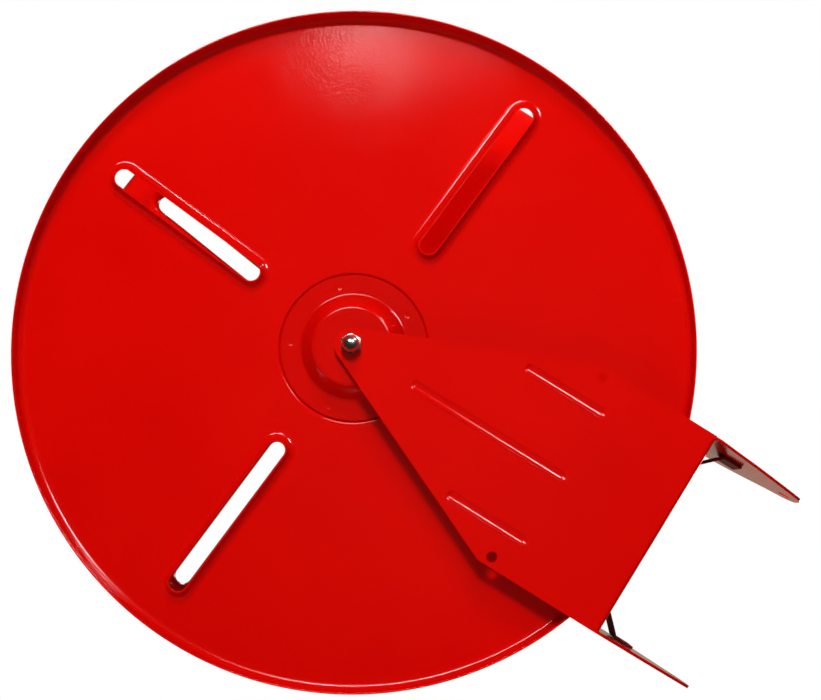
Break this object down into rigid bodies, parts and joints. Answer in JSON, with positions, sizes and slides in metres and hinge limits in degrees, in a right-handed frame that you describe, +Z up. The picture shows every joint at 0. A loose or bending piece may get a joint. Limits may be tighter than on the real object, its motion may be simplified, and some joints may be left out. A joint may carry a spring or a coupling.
{
  "type": "fire hose reel",
  "caption": "Empty swinging fire hose reel: red pressed-steel drum with slotted discs turning on a hollow spindle, on a folded bracket arm with pivot lugs.",
  "frame": {"origin": "on the vertical pivot line through the bracket's two lug holes, half way between the lugs, level with the drum's axle", "axes": "+Z up along the swing pivot, +Y from the reel's front to its rear along the drum's axle, -X from the pivot towards the drum"},
  "size_m": [0.683, 0.2851, 0.575],
  "materials": {
    "red_powder_coat": "gloss powder coat with a fine orange peel",
    "brass": "machined, satin",
    "stainless": "polished stainless",
    "zinc_steel": "zinc plated",
    "nylon": "machined nylon",
    "fibre": "pressed fibre",
    "rubber": "moulded nitrile"
  },
  "bodies": {
    "bracket": {"swing_bracket": "red_powder_coat", "upper_brace": "red_powder_coat", "lower_brace": "red_powder_coat", "spindle": "brass", "dome_nut": "stainless", "lock_washer": "zinc_steel", "front_o_ring": "rubber", "rear_o_ring": "rubber", "friction_washer": "fibre", "disc_spring": "zinc_steel", "retaining_ring": "zinc_steel", "inlet_seal": "fibre", "inlet_elbow": "brass"},
    "drum": {"front_disc": "red_powder_coat", "rear_disc": "red_powder_coat", "front_hub_plate": "red_powder_coat", "rear_hub_plate": "red_powder_coat", "drum_core": "red_powder_coat", "front_bush": "nylon", "rear_bush": "nylon", "swivel_housing": "brass", "outlet_pipe": "brass", "outlet_lock_nut": "brass", "outlet_grommet": "rubber", "hose_tail_elbow": "brass"}
  },
  "joints": [
    {"name": "drum_spin", "type": "hinge", "parent": "bracket", "child": "drum", "pos_m": [-0.3835, 0, 0], "axis": [0, 1, 0], "continuous": true}
  ]
}
